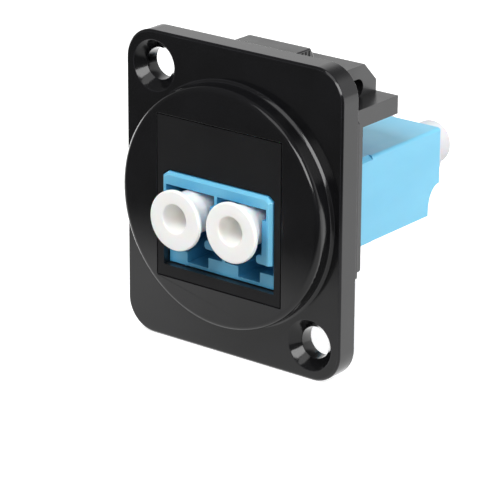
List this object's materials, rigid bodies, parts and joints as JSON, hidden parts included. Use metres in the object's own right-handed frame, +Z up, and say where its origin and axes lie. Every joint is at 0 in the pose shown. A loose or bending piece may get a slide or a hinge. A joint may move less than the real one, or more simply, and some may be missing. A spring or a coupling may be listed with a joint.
{
  "type": "panel-mount duplex fibre adapter",
  "caption": "Square-flange panel feed-through with a snap-in module that holds a duplex fibre adapter, ports closed by pull-out dust caps.",
  "frame": {"origin": "middle of the frame's mounting face, which lies on the front of the panel", "axes": "+X to the right seen from the front, +Z up, +Y to the rear through the panel"},
  "size_m": [0.026, 0.0337, 0.031],
  "materials": {
    "frame_black": "smooth moulded black",
    "module_black": "fine satin moulded black",
    "adapter_blue": "smooth moulded light blue",
    "adapter_blue_rear": "smooth moulded light blue",
    "holder_white": "natural moulded plastic",
    "sleeve_ceramic": "ground white ceramic",
    "cap_white": "soft moulded warm white"
  },
  "bodies": {
    "housing": {"panel_frame": "frame_black", "keystone_module": "module_black", "adapter_front_shell": "adapter_blue", "adapter_rear_shell": "adapter_blue_rear", "sleeve_holder_front": "holder_white", "sleeve_holder_rear": "holder_white", "split_sleeve_left": "sleeve_ceramic", "split_sleeve_right": "sleeve_ceramic"},
    "front_left_cap": {"front_dust_cap_left": "cap_white"},
    "front_right_cap": {"front_dust_cap_right": "cap_white"},
    "rear_left_cap": {"rear_dust_cap_left": "cap_white"},
    "rear_right_cap": {"rear_dust_cap_right": "cap_white"}
  },
  "joints": [
    {"name": "front_left_cap_slide", "type": "slide", "parent": "housing", "child": "front_left_cap", "axis": [0, -1, 0], "range_m": [-0.0018, 0.0103]},
    {"name": "front_right_cap_slide", "type": "slide", "parent": "housing", "child": "front_right_cap", "axis": [0, -1, 0], "range_m": [-0.00115, 0.011]},
    {"name": "rear_left_cap_slide", "type": "slide", "parent": "housing", "child": "rear_left_cap", "axis": [0, 1, 0], "range_m": [-0.00015, 0.0102]},
    {"name": "rear_right_cap_slide", "type": "slide", "parent": "housing", "child": "rear_right_cap", "axis": [0, 1, 0], "range_m": [-0.00015, 0.0102]}
  ]
}
